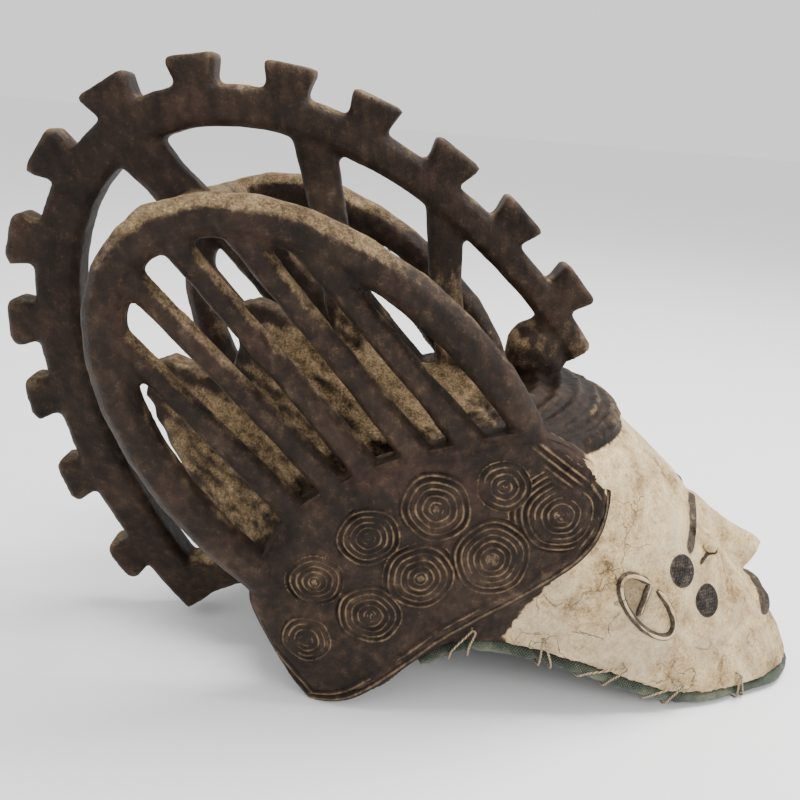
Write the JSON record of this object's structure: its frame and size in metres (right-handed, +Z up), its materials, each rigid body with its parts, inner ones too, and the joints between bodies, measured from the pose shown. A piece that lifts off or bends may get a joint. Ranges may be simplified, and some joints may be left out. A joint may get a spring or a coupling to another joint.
{
  "type": "carved wood helmet mask",
  "caption": "Carved wood helmet mask lying on its rim: white face, hair panels with ring rosettes, two openwork side arches, a tall pegged crest and a green woven rim band.",
  "frame": {"origin": "centre of the box round the whole mask, at the height of the table that it lies on", "axes": "+Z up, +X towards the chin, -Y towards the mask's right side, which faces the picture's camera"},
  "size_m": [0.4666, 0.2074, 0.3223],
  "materials": {
    "carved_wood": "dark worn wood, kaolin-white face, dusty crust on upward faces",
    "woven_band": "green plain weave, dusty",
    "thread": "tan twisted thread"
  },
  "bodies": {
    "root": {"mask": "carved_wood", "rim_binding": "woven_band", "stitch_right_1": "thread", "stitch_right_2": "thread", "stitch_right_3": "thread", "stitch_right_4": "thread", "stitch_right_5": "thread", "stitch_left_1": "thread", "stitch_left_2": "thread", "stitch_left_3": "thread", "stitch_left_4": "thread", "stitch_left_5": "thread"}
  },
  "joints": []
}
